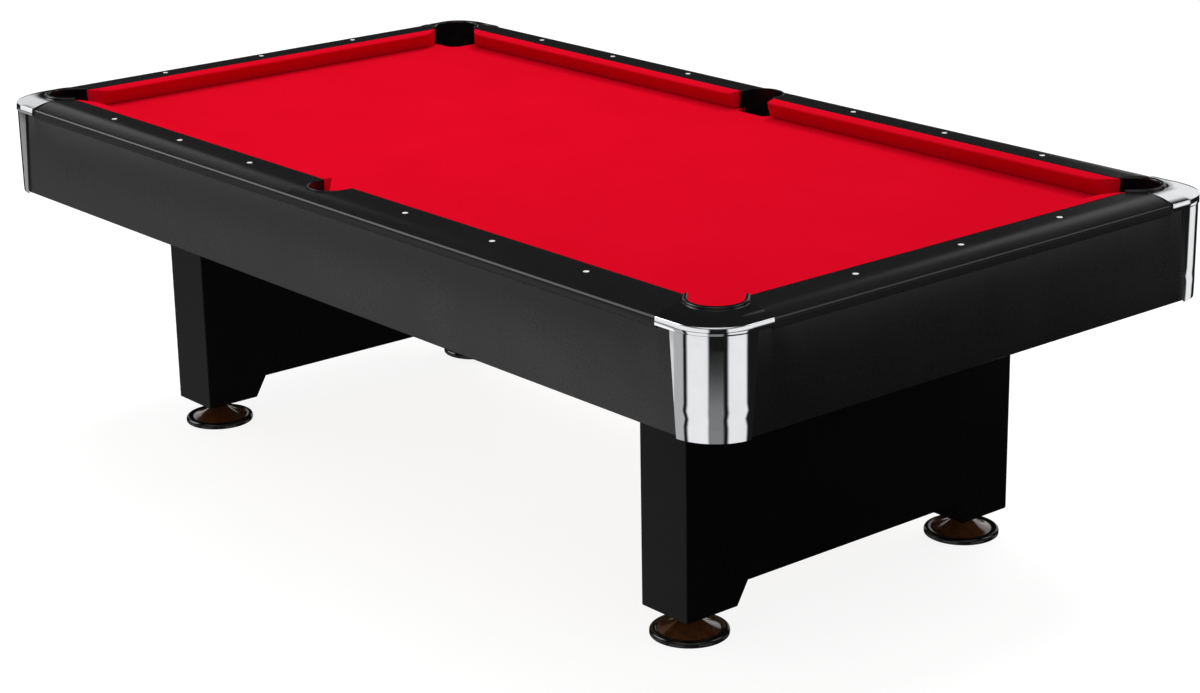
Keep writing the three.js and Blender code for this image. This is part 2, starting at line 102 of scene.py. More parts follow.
LEG_X = 851.0
FOOT_Y = 390.0
NECK_RADIUS = 10.5
NECK_TOP = 50.0

# This script's own sizes, in millimetres, and the two distances that make() cleans a mesh by, in metres.
# STEP is the run of a sudden step in an outline.
APRON_END = 41.0
CLOTH_THICKNESS = 0.9
CLOTH_WAVE = 0.28
STEP = 0.1
MERGE_DISTANCE = 4e-6
THIN_EDGE = 2e-6

SIDES = {
    "front": (0.0, -HALF_WIDTH, math.pi, HALF_LENGTH),
    "back": (0.0, HALF_WIDTH, 0.0, HALF_LENGTH),
    "left": (-HALF_LENGTH, 0.0, math.pi / 2, HALF_WIDTH),
    "right": (HALF_LENGTH, 0.0, -math.pi / 2, HALF_WIDTH),
}
CORNERS = {
    "front_left": (-HALF_LENGTH, -HALF_WIDTH, math.pi),
    "front_right": (HALF_LENGTH, -HALF_WIDTH, -math.pi / 2),
    "back_left": (-HALF_LENGTH, HALF_WIDTH, math.pi / 2),
    "back_right": (HALF_LENGTH, HALF_WIDTH, 0.0),
}


def arc(cx, cy, radius, start, end, steps):
    """Points on an arc, in degrees, both ends included."""
    angles = [math.radians(start + (end - start) * i / steps) for i in range(steps + 1)]
    return [(cx + radius * math.cos(a), cy + radius * math.sin(a)) for a in angles]


def placed(points, at):
    """Local points in millimetres, turned and moved to a side's or corner's place, in metres."""
    c, s = math.cos(at[2]), math.sin(at[2])
    return [Vector((at[0] + c * x - s * y, at[1] + s * x + c * y, z)) * MM for x, y, z in points]


class Shape:
    """Vertices and faces gathered from several closed islands."""

    def __init__(self):
        self.verts = []
        self.faces = []

    def loft(self, rings, closed=True, caps=True, loop=False):
        """Joins rings of points in turn. A loop's last ring is joined to its first."""
        first, count = len(self.verts), len(rings[0])
        for ring in rings:
            self.verts.extend(ring)
        spans = len(rings) if loop else len(rings) - 1
        for i in range(spans):
            a, b = first + i * count, first + ((i + 1) % len(rings)) * count
            for j in range(count if closed else count - 1):
                k = (j + 1) % count
                self.faces.append((a + j, a + k, b + k, b + j))
        if caps and not loop:
            self.faces.append(tuple(first + j for j in reversed(range(count))))
            last = first + (len(rings) - 1) * count
            self.faces.append(tuple(last + j for j in range(count)))

    def lathe(self, profile, centre, steps, turn=0.0):
        """A profile of (r, z) in millimetres, from axis to axis, turned about a vertical line."""
        rings = []
        for i in range(steps):
            a = turn + 2 * math.pi * i / steps
            points = [(centre[0] + r * math.cos(a), centre[1] + r * math.sin(a), z) for r, z in profile]
            rings.append([Vector(p) * MM for p in points])
        self.loft(rings, closed=False, caps=False, loop=True)


def make(name, shape, materials, stands_for, body="table", sharp=30.0, pick=None):
    """Turns a Shape into a piece on a body that stands for CAD nodes. pick chooses each face's material."""
    mesh = bpy.data.meshes.new(name)
    mesh.from_pydata(shape.verts, [], shape.faces)
    bm = bmesh.new()
    bm.from_mesh(mesh)
    bmesh.ops.remove_doubles(bm, verts=bm.verts, dist=MERGE_DISTANCE)
    bmesh.ops.dissolve_degenerate(bm, edges=bm.edges, dist=THIN_EDGE)
    bmesh.ops.recalc_face_normals(bm, faces=bm.faces)
    for face in bm.faces:
        face.smooth = True
        if pick:
            face.material_index = pick(face.calc_center_median() / MM)
    bm.to_mesh(mesh)
    bm.free()
    mesh.set_sharp_from_angle(angle=math.radians(sharp))
    for material in materials:
        mesh.materials.append(material)
    piece = bpy.data.objects.new(name, mesh)
    bpy.context.scene.collection.objects.link(piece)
    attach(piece, body)
    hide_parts(*stands_for)
    return piece


# Materials. Most of a noise lies between these two values
NOISE_LOW, NOISE_HIGH = 0.3, 0.7


class Nodes:
    """A principled material, built node by node."""

    def __init__(self, name):
        self.material = bpy.data.materials.new(name)
        self.material.use_nodes = True
        self.tree = self.material.node_tree
        self.shader = self.tree.nodes["Principled BSDF"]
        self.place = self.add("ShaderNodeTexCoord").outputs["Object"]

    def add(self, kind, **values):
        node = self.tree.nodes.new(kind)
        for key, value in values.items():
            setattr(node, key, value)
        return node

    def link(self, source, target):
        self.tree.links.new(source, target)

    def set(self, **values):
        for key, value in values.items():
            self.shader.inputs[key.replace("_", " ")].default_value = value
        return self

    def mapped(self, scale):
        node = self.add("ShaderNodeMapping")
        node.inputs["Scale"].default_value = scale
        self.link(self.place, node.inputs["Vector"])
        return node.outputs["Vector"]

    def noise(self, scale, detail=4.0, rough=0.55, stretch=(1, 1, 1)):
        node = self.add("ShaderNodeTexNoise")
        node.inputs["Scale"].default_value = scale
        node.inputs["Detail"].default_value = detail
        node.inputs["Roughness"].default_value = rough
        self.link(self.mapped(stretch), node.inputs["Vector"])
        return node.outputs["Fac"]

    def math(self, operation, a, b):
        node = self.add("ShaderNodeMath", operation=operation)
        for socket, value in zip(node.inputs, (a, b)):
            if isinstance(value, (int, float)):
                socket.default_value = value
            else:
                self.link(value, socket)
        return node.outputs[0]

    def colour(self, source, stops):
        node = self.add("ShaderNodeValToRGB")
        elements = node.color_ramp.elements
        while len(elements) < len(stops):
            elements.new(1.0)
        for element, (position, colour) in zip(elements, stops):
            element.position = position
            element.color = (*colour, 1.0)
        self.link(source, node.inputs["Fac"])
        self.link(node.outputs["Color"], self.shader.inputs["Base Color"])

    def two_tone(self, source, dark, light):
        self.colour(source, [(NOISE_LOW, dark), (NOISE_HIGH, light)])

    def roughness(self, source, low, high):
        node = self.add("ShaderNodeMapRange")
        node.inputs["From Min"].default_value = NOISE_LOW
        node.inputs["From Max"].default_value = NOISE_HIGH
        node.inputs["To Min"].default_value = low
        node.inputs["To Max"].default_value = high
        self.link(source, node.inputs["Value"])
        self.link(node.outputs["Result"], self.shader.inputs["Roughness"])

    def bump(self, source, strength, distance):
        node = self.add("ShaderNodeBump")
        node.inputs["Strength"].default_value = strength
        node.inputs["Distance"].default_value = distance
        self.link(source, node.inputs["Height"])
        self.link(node.outputs["Normal"], self.shader.inputs["Normal"])


def cloth_material():
    m = Nodes("red_cloth").set(Specular_IOR_Level=0.0, Sheen_Weight=0.10, Sheen_Roughness=0.5)
    m.shader.inputs["Sheen Tint"].default_value = (1.0, 0.01, 0.06, 1.0)
    fibres = m.noise(900.0, 3.0, 0.6)
    clouds = m.noise(5.0, 3.0, 0.5)
    blend = m.math("ADD", m.math("MULTIPLY", fibres, 0.85), m.math("MULTIPLY", clouds, 0.15))
    m.two_tone(blend, (0.50, 0.0015, 0.010), (0.68, 0.003, 0.017))
    m.roughness(fibres, 0.82, 0.95)
    m.bump(fibres, 0.35, 0.0004)
    return m.material


def laminate_material(name, dark, light, rough, grain, gloss):
    m = Nodes(name).set(Specular_IOR_Level=gloss)
    pores = m.noise(420.0, 4.0, 0.6)
    patches = m.noise(6.0, 3.0, 0.5)
    m.two_tone(pores, dark, light)
    m.roughness(m.math("ADD", m.math("MULTIPLY", pores, 0.5), m.math("MULTIPLY", patches, 0.5)), *rough)
    m.bump(pores, grain, 0.0003)
    return m.material


def chrome_material():
    m = Nodes("bright_chrome").set(Metallic=1.0)
    smudges = m.noise(14.0, 5.0, 0.6)
    ripple = m.noise(9.0, 1.0, 0.4)
    m.two_tone(smudges, (0.80, 0.81, 0.83), (0.87, 0.88, 0.90))
    m.roughness(smudges, 0.035, 0.075)
    m.bump(ripple, 0.08, 0.002)
    return m.material


def rubber_material():
    m = Nodes("black_rubber").set(Specular_IOR_Level=0.25)
    grain = m.noise(600.0, 3.0, 0.6)
    m.two_tone(grain, (0.002, 0.002, 0.0022), (0.005, 0.005, 0.0055))
    m.roughness(m.noise(30.0, 3.0), 0.22, 0.32)
    m.bump(grain, 0.12, 0.0003)
    return m.material


def gloss_material(name, dark, light, rough, gloss):
    m = Nodes(name).set(Specular_IOR_Level=gloss, Coat_Weight=0.4 * gloss, Coat_Roughness=0.06)
    swirl = m.noise(60.0, 4.0, 0.6)
    m.two_tone(swirl, dark, light)
    m.roughness(m.noise(25.0, 3.0), *rough)
    m.bump(m.noise(80.0, 2.0), 0.03, 0.0005)
    return m.material


def timber_material():
    m = Nodes("softwood").set(Specular_IOR_Level=0.3)
    grain = m.noise(16.0, 6.0, 0.65, (0.35, 6.0, 6.0))
    dark, middle, light = (0.36, 0.22, 0.11), (0.52, 0.35, 0.19), (0.60, 0.43, 0.25)
    m.colour(grain, [(0.35, dark), (0.55, middle), (NOISE_HIGH, light)])
    m.roughness(grain, 0.6, 0.8)
    m.bump(grain, 0.2, 0.001)
    return m.material


def board_material():
    m = Nodes("fibreboard").set(Specular_IOR_Level=0.25)
    flecks = m.noise(260.0, 5.0, 0.7)
    m.two_tone(flecks, (0.24, 0.15, 0.08), (0.40, 0.27, 0.16))
    m.roughness(flecks, 0.75, 0.9)
    m.bump(flecks, 0.2, 0.0005)
    return m.material


cloth = cloth_material()
rail_black = laminate_material(
    "rail_laminate", (0.006, 0.006, 0.0064), (0.013, 0.013, 0.0135),
    rough=(0.18, 0.26), grain=0.10, gloss=0.13,
)
apron_black = laminate_material(
    "apron_laminate", (0.0015, 0.0015, 0.0017), (0.004, 0.004, 0.0045),
    rough=(0.24, 0.32), grain=0.22, gloss=0.42,
)
# The pedestals' laminate is a darker, less glossy copy of the apron's: its darker colour is painted shade
# under the table
pedestal_black_painted_shade = laminate_material(
    "pedestal_laminate_painted_shade", (0.0003, 0.0003, 0.0004), (0.0012, 0.0012, 0.0014),
    rough=(0.24, 0.30), grain=0.18, gloss=0.10,
)
chrome = chrome_material()
rubber = rubber_material()
white_gloss = gloss_material("sight_white", (0.90, 0.90, 0.88), (0.96, 0.96, 0.94), (0.15, 0.25), 0.6)
foot_black = gloss_material("foot_black", (0.002, 0.002, 0.002), (0.004, 0.004, 0.004), (0.08, 0.14), 0.25)
foot_brown = gloss_material("foot_brown", (0.050, 0.017, 0.006), (0.095, 0.036, 0.012), (0.10, 0.18), 0.6)
timber = timber_material()
board = board_material()


# Bed cloth: stretched flat, and turned down over the board's edge in each pocket notch
def bed_cloth():
    bend, hang = 1.5, 19.0
    side_gap = 1.3
    inner_side = SIDE_HOLE - side_gap
    notch_edge, turn_in = POCKET_OFFSET - CORNER_THROAT + 0.9, 30.0

    bends = [math.radians(15 * i) for i in range(7)]
    turned_down = [(bend - bend * math.sin(a), CLOTH_TOP - bend + bend * math.cos(a)) for a in bends]
    turned_down.append((0.0, CLOTH_TOP - hang))

    def corner_notch(name):
        at = CORNERS[name]
        layers = []
        middle = notch_edge + turn_in
        for e, z in turned_down:
            ring = [(*p, z) for p in arc(middle, middle, turn_in + e, 180, 270, 24)]
            start, end = (notch_edge - e, BED_MARGIN, z), (BED_MARGIN, notch_edge - e, z)
            layers.append(placed([start, *ring, end], at))
        return layers

    def side_notch(name):
        at = SIDES[name]
        layers = []
        for e, z in turned_down:
            radius = inner_side + e
            low = SIDE_HOLE_INNER + side_gap - e
            turn = math.degrees(math.asin(-low / radius))
            ring = [(*p, z) for p in arc(0, SIDE_POCKET_U, radius, 180, 180 + turn, 8)]
            ring += [(*p, z) for p in arc(0, SIDE_POCKET_U, radius, 360 - turn, 360, 8)]
            layers.append(placed([(-radius, BED_MARGIN, z), *ring, (radius, BED_MARGIN, z)], at))
        return layers

    # Counter-clockwise from the back right corner
    order = [
        corner_notch("back_right"),
        side_notch("back"),
        corner_notch("back_left"),
        corner_notch("front_left"),
        side_notch("front"),
        corner_notch("front_right"),
    ]
    centre = Vector((0, 0, CLOTH_TOP * MM))
    loops = []
    for layers in order:
        first, last = layers[0][0], layers[0][-1]
        clockwise = (first - centre).cross(last - centre).z < 0
        loops.append([layer[::-1] for layer in layers] if clockwise else layers)
    shape = Shape()
    outline = []
    for layers in loops:
        base = len(shape.verts)
        count = len(layers[0])
        for layer in layers:
            shape.verts.extend(layer)
        outline.extend(range(base, base + count))
        for i in range(len(layers) - 1):
            for j in range(count - 1):
                a, b = base + i * count + j, base + (i + 1) * count + j
                shape.faces.append((a, b, b + 1, a + 1))
    shape.faces.append(tuple(outline))
    piece = make("bed_cloth_sheet", shape, [cloth], ["bed_cloth"], sharp=8.0)
    # The playing face is shaded flat and the turned-down edges smooth
    playing_face = max(piece.data.polygons, key=lambda polygon: polygon.area)
    playing_face.use_smooth = False
    thick = piece.modifiers.new("thickness", "SOLIDIFY")
    thick.thickness = CLOTH_THICKNESS * MM
    thick.offset = -1.0


bed_cloth()


# Rails: one long loft each, with the pocket cut-outs in its inner edge
KNEE = math.asin((RAIL_FACE - CROWN_START - EDGE_RADIUS) / (CROWN_RADIUS - EDGE_RADIUS))
CROWN_END = CROWN_START + CROWN_RADIUS * math.sin(KNEE)
EDGE_Z = RAIL_TOP - CROWN_RADIUS + (CROWN_RADIUS - EDGE_RADIUS) * math.cos(KNEE)


def rail_z(u):
    if u <= CROWN_START:
        return RAIL_TOP
    return RAIL_TOP - CROWN_RADIUS + math.sqrt(CROWN_RADIUS**2 - (u - CROWN_START) ** 2)


def rail_ring(x, inner):
    round_in, round_lip = 1.0, 1.2
    ring = [(inner, RAIL_BOTTOM), (inner, rail_z(inner) - round_in)]
    ring.append((inner + 0.3 * round_in, rail_z(inner) - 0.3 * round_in))
    steps = 22
    for i in range(steps + 1):
        u = inner + round_in + (CROWN_END - inner - round_in) * (i / steps)
        ring.append((u, rail_z(u)))
    ring += arc(RAIL_FACE - EDGE_RADIUS, EDGE_Z, EDGE_RADIUS, 90 - math.degrees(KNEE), 0, 10)[1:]
    ring += [(RAIL_FACE, LIP_BOTTOM + round_lip), (RAIL_FACE - 0.4, LIP_BOTTOM + 0.3)]
    ring += [(RAIL_FACE - round_lip, LIP_BOTTOM), (LIP_INNER, LIP_BOTTOM), (LIP_INNER, RAIL_BOTTOM)]
    return [(x, u, z) for u, z in ring]


def corner_stations(half):
    """(x, inner edge) from the plain run to the end of a rail, round a corner pocket's mouth."""
    mouth = CORNER_RIM + CLEARANCE
    # Behind the cushion's facing the edge steps back, and then runs out at 45 degrees to the mouth
    facing, facing_u, facing_run, facing_steps = half - 47.4, 38.0, 18.7, 6
    found = [(half - 60, RAIL_INNER), (facing, RAIL_INNER), (facing + STEP, facing_u)]
    for i in range(1, facing_steps + 1):
        found.append((facing + facing_run * i / facing_steps, facing_u + facing_run * i / facing_steps))
    start, end, mouth_steps = facing + facing_run, half + RAIL_END, 8
    for i in range(1, mouth_steps + 1):
        x = start + (end - start) * i / mouth_steps
        found.append((x, POCKET_OFFSET + math.sqrt(mouth**2 - (half + POCKET_OFFSET - x) ** 2)))
    return found


def rail(name):
    at = SIDES[name]
    half = at[3]
    right = corner_stations(half)
    stations = [(-x, u) for x, u in reversed(right)]
    if half == HALF_LENGTH:
        mouth = SIDE_RIM + CLEARANCE
        count = 24
        stations.append((-mouth - STEP, RAIL_INNER))
        for i in range(count + 1):
            a = math.pi * i / count
            stations.append((-mouth * math.cos(a), SIDE_POCKET_U + mouth * math.sin(a)))
        stations.append((mouth + STEP, RAIL_INNER))
    stations += right
    shape = Shape()
    shape.loft([placed(rail_ring(x, u), at) for x, u in stations])
    make(f"rail_{name}_top", shape, [rail_black], [f"rail_{name}"], sharp=28.0)


for side in SIDES:
    rail(side)


# Aprons: boards with rounded long edges that run on behind the corner columns
def apron_section(top):
    soft = 1.6
    section = []
    for u, z, start in (
        (APRON_FACE, top, 0), (APRON_INNER, top, 90),
        (APRON_INNER, APRON_BOTTOM, 180), (APRON_FACE, APRON_BOTTOM, 270),
    ):
        side = 1 if start in (0, 270) else -1
        rise = 1 if start in (0, 90) else -1
        section += arc(u - side * soft, z - rise * soft, soft, start, start + 90, 4)
    return section


def apron(name):
    at = SIDES[name]
    half, count = at[3], 24
    # Each end stands a little higher, under the corner cap's band
    raised, high = half + CAP_ARM_END + CLEARANCE, BAND_BOTTOM - CLEARANCE
    run = [-raised + 2 * raised * i / count for i in range(count + 1)]
    stations = [(-half - APRON_END, high), (-raised - STEP, high)]
    stations += [(x, APRON_TOP) for x in run]
    stations += [(raised + STEP, high), (half + APRON_END, high)]
    shape = Shape()
    shape.loft([placed([(x, u, z) for u, z in apron_section(top)], at) for x, top in stations])
    make(f"apron_{name}_board", shape, [apron_black], [f"apron_{name}"], sharp=40.0)


for side in SIDES:
    apron(side)


# Cushions: cloth over a rubber nose, with rounded facings at each end
def cushion_section():
    base = RAIL_BOTTOM + 0.4
    ring = [(CUSHION_BACK, base), (17.6, base)]
    ring += [(12.8, NOSE_Z - 23.5), (7.6, NOSE_Z - 13.0), (3.4, NOSE_Z - 5.6)]
    nose = 3.6
    ring += arc(nose, NOSE_Z - 0.6, nose, 205, 75, 8)
    # The top rises from the nose to the rail with a slight bulge
    start_u, start_z, steps, bulge = 5.0, NOSE_Z + 3.0, 9, 0.22
    for i in range(1, steps):
        t = i / steps
        rise = t + bulge * math.sin(math.pi * t)
        ring.append((start_u + (CUSHION_BACK - 6.2) * t, start_z + (CUSHION_TOP - NOSE_Z - 3.0) * rise))
    ring += [(CUSHION_BACK - 0.7, CUSHION_TOP - 0.3), (CUSHION_BACK, CUSHION_TOP - 1.6)]
    return ring


def pulled_back(z, from_end):
    """How far the cloth is pulled back round the nose near each end, to a fold."""
    fold_depth, fold_length, fold_height = 5.0, 15.6, 15.0
    return fold_depth * (max(0.0, 1 - from_end / fold_length) * max(0.0, 1 - abs(z - NOSE_Z) / fold_height))


def cushion(node, side, start, start_shift, end, end_shift):
    """A shift is how much farther than the nose the cushion's back reaches at that end."""
    at = SIDES[side]
    section = cushion_section()
    mid_u = sum(p[0] for p in section) / len(section)
    mid_z = sum(p[1] for p in section) / len(section)
    # (distance from an end, share of the full section): each end is rounded over
    ends = [(0.0, 0.86), (0.35, 0.93), (1.1, 0.97), (2.4, 0.993), (4.5, 1.0)]
    ends += [(s, 1.0) for s in (7.5, 10.5, 13.5, 15.0, 16.2, 18.0, 22.0)]
    plain = ends[-1][0]
    length = end - start
    count = max(6, int(length / 30))
    inside = [plain + (length - 2 * plain) * i / count for i in range(1, count)]
    stations = ends + [(s, 1.0) for s in inside] + [(length - s, k) for s, k in reversed(ends)]
    shape = Shape()
    rings = []
    for s, k in stations:
        t = s / length
        ring = []
        for u, z in section:
            u2, z2 = mid_u + (u - mid_u) * k, mid_z + (z - mid_z) * k
            u2 += pulled_back(z, min(s, length - s))
            depth = max(0.0, u2) / CUSHION_BACK
            x = start + s - start_shift * depth * (1 - t) + end_shift * depth * t
            wave = noise.noise(Vector((x * 0.011, at[0] * 0.01 + at[1] * 0.013, u * 0.05)))
            on_top = z > NOSE_Z + 2.0 and k == 1.0
            ring.append((x, u2, z2 + (CLOTH_WAVE * wave if on_top else 0.0)))
        rings.append(placed(ring, at))
    shape.loft(rings)
    piece = make(f"{node}_cloth", shape, [cloth], [node], sharp=50.0)


at_corner = (HALF_LENGTH - CORNER_NOSE_SETBACK, CORNER_FACING_SHIFT)
at_side = (SIDE_NOSE_HALF, SIDE_FACING_SHIFT)
for side in ("front", "back"):
    plus, minus = ("left", "right") if side == "front" else ("right", "left")
    cushion(f"cushion_{side}_{plus}", side, *at_side, *at_corner)
    cushion(f"cushion_{side}_{minus}", side, -at_corner[0], at_corner[1], -at_side[0], at_side[1])
for side in ("left", "right"):
    far = HALF_WIDTH - CORNER_NOSE_SETBACK
    cushion(f"cushion_{side}", side, -far, CORNER_FACING_SHIFT, far, CORNER_FACING_SHIFT)


# Sights: small domed inlays
def sight_profile():
    bottom, edge = SIGHT_TOP - 2.6, 0.4
    profile = [(0, bottom), (SIGHT_RADIUS - edge, bottom), (SIGHT_RADIUS, bottom + edge)]
    profile += [(SIGHT_RADIUS, SIGHT_TOP - 0.2), (SIGHT_RADIUS - 0.3, SIGHT_TOP + 0.05)]
    profile += [(4.6, SIGHT_TOP + 0.22), (3.0, SIGHT_TOP + 0.36)]
    profile += [(1.4, SIGHT_TOP + 0.43), (0, SIGHT_TOP + 0.45)]
    return profile


for side, at in SIDES.items():
    steps = (-3, -2, -1, 1, 2, 3) if at[3] == HALF_LENGTH else (-1, 0, 1)
    for index, step in enumerate(steps, 1):
        centre = placed([(step * SIGHT_STEP, SIGHT_U, 0.0)], at)[0] / MM
        shape = Shape()
        shape.lathe(sight_profile(), centre, 32)
        node = f"sight_{side}_{index}"
        make(f"{node}_inlay", shape, [white_gloss], [node], sharp=40.0)


# Pocket liners
def along_pocket(arm, steps):
    """(base, outward normal) from one arm's end, round the half circle, to the other's."""
    rows = 5
    found = [((0.0, -arm + arm * i / rows), (1.0, 0.0)) for i in range(rows)]
    for i in range(steps + 1):
        a = math.pi * i / steps
        found.append(((0.0, 0.0), (math.cos(a), math.sin(a))))
    found += [((0.0, -arm * i / rows), (-1.0, 0.0)) for i in range(1, rows + 1)]
    return found


def bucket_profile(throat, rim):
    """(r, z) of the drop pocket, from the axis under its floor to the axis over it."""
    bottom, soft, recess = BUCKET_BOTTOM, 12, 1.2
    floor = bottom + 5
    profile = [(0, bottom)] + arc(rim - soft, bottom + soft, soft, -90, 0, 8)
    profile += [(rim - recess, bottom + 30), (rim - recess, BUCKET_TOP - 14), (rim, BUCKET_TOP - 12)]
    profile += [(rim, BUCKET_TOP - 1), (rim - 1, BUCKET_TOP)]
    profile += [(throat + 1, BUCKET_TOP), (throat, BUCKET_TOP - 1)]
    profile += [(throat, floor + soft)] + arc(throat - soft, floor + soft, soft, 0, -90, 8) + [(0, floor)]
    return profile


def liner(node, to_place, throat, rim, arm, hole, top, bead):
    """A beaded rim round the pocket's mouth, a joining ring under it, and the bucket."""
    shape = Shape()
    radius = (rim - throat) / 2
    middle = (rim + throat) / 2
    wall = throat + (rim - throat) * 0.14
    high = RAIL_BOTTOM + GAP
    section = [(wall, high), (wall, top - radius - bead)]
    section += [(throat + 0.25, top - radius - bead * 0.55), (throat, top - radius - bead * 0.1)]
    section += arc(middle, top - radius, radius, 180, 0, 14)
    section += [(rim, high)]
    path = along_pocket(arm, 40)
    z_mid = (top + RAIL_BOTTOM) / 2

    def ring(base, n, scale=1.0):
        rise = 1 - (1 - scale) * 0.25
        points = [(middle + (r - middle) * scale, z_mid + (z - z_mid) * rise) for r, z in section]
        return to_place([(base[0] + n[0] * r, base[1] + n[1] * r, z) for r, z in points])

    def end_rings(base, n, sign):
        found = []
        for back, scale in ((0.0, 0.55), (0.4, 0.78), (1.2, 0.93), (2.6, 0.99)):
            found.append(ring((base[0], base[1] + back), n, scale))
        return found if sign > 0 else found[::-1]

    rings = end_rings(path[0][0], path[0][1], 1)
    rings += [ring(base, n) for base, n in path[1:-1]]
    rings += end_rings(path[-1][0], path[-1][1], -1)
    shape.loft(rings)

    def turned(points, a):
        return to_place([(r * math.cos(a), r * math.sin(a), z) for r, z in points])

    low, joining = BUCKET_TOP - 3.0, hole - CLEARANCE
    joint = [(throat, low), (throat, high), (joining, high), (joining, low)]
    half_steps, steps = 32, 56
    shape.loft([turned(joint, math.pi * i / half_steps) for i in range(half_steps + 1)])
    bucket = bucket_profile(throat, rim)
    rings = [turned(bucket, 2 * math.pi * i / steps) for i in range(steps)]
    shape.loft(rings, closed=False, caps=False, loop=True)
    make(f"{node}_liner", shape, [rubber], [node], sharp=35.0)


def to_corner(at):
    """Moves points of a pocket's own frame to a corner, 45 degrees round."""
    c = math.sqrt(0.5)

    def move(points):
        turned = [(POCKET_OFFSET + c * x + c * y, POCKET_OFFSET - c * x + c * y, z) for x, y, z in points]
        return placed(turned, at)

    return move


def to_side(at):
    """Moves points of a pocket's own frame to the middle of a side."""

    def move(points):
        return placed([(x, y + SIDE_POCKET_U, z) for x, y, z in points], at)

    return move


for name, at in CORNERS.items():
    liner(
        f"pocket_{name}", to_corner(at),
        CORNER_THROAT, CORNER_RIM, CORNER_ARM, CORNER_HOLE, CORNER_RIM_TOP, bead=5.0,
    )
for name in ("front", "back"):
    liner(
        f"pocket_side_{name}", to_side(SIDES[name]),
        SIDE_THROAT, SIDE_RIM, SIDE_ARM, SIDE_HOLE, SIDE_RIM_TOP, bead=3.0,
    )


# Corner caps and the chromed columns under them
def round_corner(run, steps, ends):
    """(base, outward normal) along one arm, round the arc, and back along the other arm."""
    found = []
    for i in range(ends):
        found.append(((run + (ARC_CENTRE - run) * i / ends, ARC_CENTRE), (0.0, 1.0)))
    for i in range(steps + 1):
        a = math.pi / 2 * i / steps
        found.append(((ARC_CENTRE, ARC_CENTRE), (math.sin(a), math.cos(a))))
    for i in range(1, ends + 1):
        found.append(((ARC_CENTRE, ARC_CENTRE + (run - ARC_CENTRE) * i / ends), (1.0, 0.0)))
    return found


def cap_ring(base, n):
    """The cap's section: round the pocket's mouth, over the crown, and down a band that leans in."""
    dx, dy = base[0] - POCKET_OFFSET, base[1] - POCKET_OFFSET
    along = dx * n[0] + dy * n[1]
    mouth = CORNER_RIM + CLEARANCE
    inner = -along + math.sqrt(along**2 - (dx * dx + dy * dy - mouth**2))
    flat = CROWN_START - ARC_CENTRE
    fall = CAP_RADIUS - 2.6 - flat
    curve = (fall**2 + CAP_DROP**2) / (2 * CAP_DROP)
    under = CAP_TOP - CAP_PLATE
    ring = [(inner, under), (inner, CAP_TOP - 0.7), (inner + 0.2, CAP_TOP - 0.2), (inner + 0.7, CAP_TOP)]
    steps = 16
    for i in range(steps + 1):
        r = max(flat + fall * i / steps, inner + 1.0 + 0.05 * i)
        ring.append((r, CAP_TOP - curve + math.sqrt(curve**2 - max(0.0, r - flat) ** 2)))
    edge = CAP_TOP - CAP_DROP
    ring += [(CAP_RADIUS - 2.0, edge - 0.3), (CAP_RADIUS - 1.6, edge - 0.8), (CAP_RADIUS - 1.4, edge - 1.6)]
    ring += [(CAP_RADIUS - 0.5, edge - 8.5), (CAP_RADIUS, BAND_BOTTOM + 0.8)]
    ring += [(CAP_RADIUS - 0.25, BAND_BOTTOM + 0.2), (CAP_RADIUS - 0.9, BAND_BOTTOM)]
    ring += [(CAP_RADIUS - CAP_WALL, BAND_BOTTOM), (CAP_RADIUS - CAP_WALL, edge - CAP_PLATE), (flat, under)]
    return [(base[0] + n[0] * r, base[1] + n[1] * r, z) for r, z in ring]


def column_path(edge):
    """The path round a column whose two edges stand at edge, on the arms or on the arc itself."""
    if edge <= ARC_CENTRE:
        return round_corner(edge, 48, 5)
    cut, steps = math.asin((edge - ARC_CENTRE) / SKIRT_RADIUS), 58
    angles = [cut + (math.pi / 2 - 2 * cut) * k / steps for k in range(steps + 1)]
    return [((ARC_CENTRE, ARC_CENTRE), (math.sin(a), math.cos(a))) for a in angles]


def column(at):
    """A thin shell round the corner, narrower towards the floor."""
    top, rows = BAND_BOTTOM - GAP, 14
    widen, last_edge = SKIRT_EDGE_BOTTOM - SKIRT_EDGE_TOP, ARC_CENTRE + 3.9
    rings = []
    for i in range(rows + 1):
        z = SKIRT_BOTTOM + (top - SKIRT_BOTTOM) * i / rows
        edge = SKIRT_EDGE_TOP + widen * (top - z) / (top - SKIRT_BOTTOM)
        path = column_path(min(edge, last_edge))
        outer = SKIRT_RADIUS - (0.5 if i in (0, rows) else 0.0)
        inner = SKIRT_RADIUS - SKIRT_WALL
        ring = [(b[0] + n[0] * outer, b[1] + n[1] * outer, z) for b, n in path]
        ring += [(b[0] + n[0] * inner, b[1] + n[1] * inner, z) for b, n in reversed(path)]
        rings.append(placed(ring, at))
    shape = Shape()
    shape.loft(rings)
    return shape


for name, at in CORNERS.items():
    shape = Shape()
    shape.loft([placed(cap_ring(b, n), at) for b, n in round_corner(CAP_ARM_END, 64, 4)])
    cap, skirt = f"corner_cap_{name}", f"apron_corner_{name}"
    make(f"{cap}_plate", shape, [chrome], [cap], sharp=32.0)
    make(f"{skirt}_column", column(at), [chrome], [skirt], sharp=32.0)


# Levelers: a glossy disc with a rounded rim, a dished cone, a neck and a threaded stud
def foot_profile():
    profile = [(0, 0), (76.5, 0)] + arc(77.0, 3.0, 3.0, -80, 0, 5)
    profile += arc(74.0, 7.0, 6.0, 0, 90, 8) + [(69.5, 12.7), (67.0, 11.9), (65.4, 11.2), (63.5, 11.4)]
    profile += [(60.0, 12.3), (56, 13.6), (48, 16.6), (40, 20.6), (33, 24.6), (27, 28.6), (22, 32.4)]
    profile += [(18, 34.6), (14.6, 35.8), (12.4, 37.0), (11.2, 38.2), (NECK_RADIUS, 40.0)]
    return profile + [(NECK_RADIUS, 48.6), (9.9, 49.7), (8.8, NECK_TOP), (5.2, NECK_TOP)]


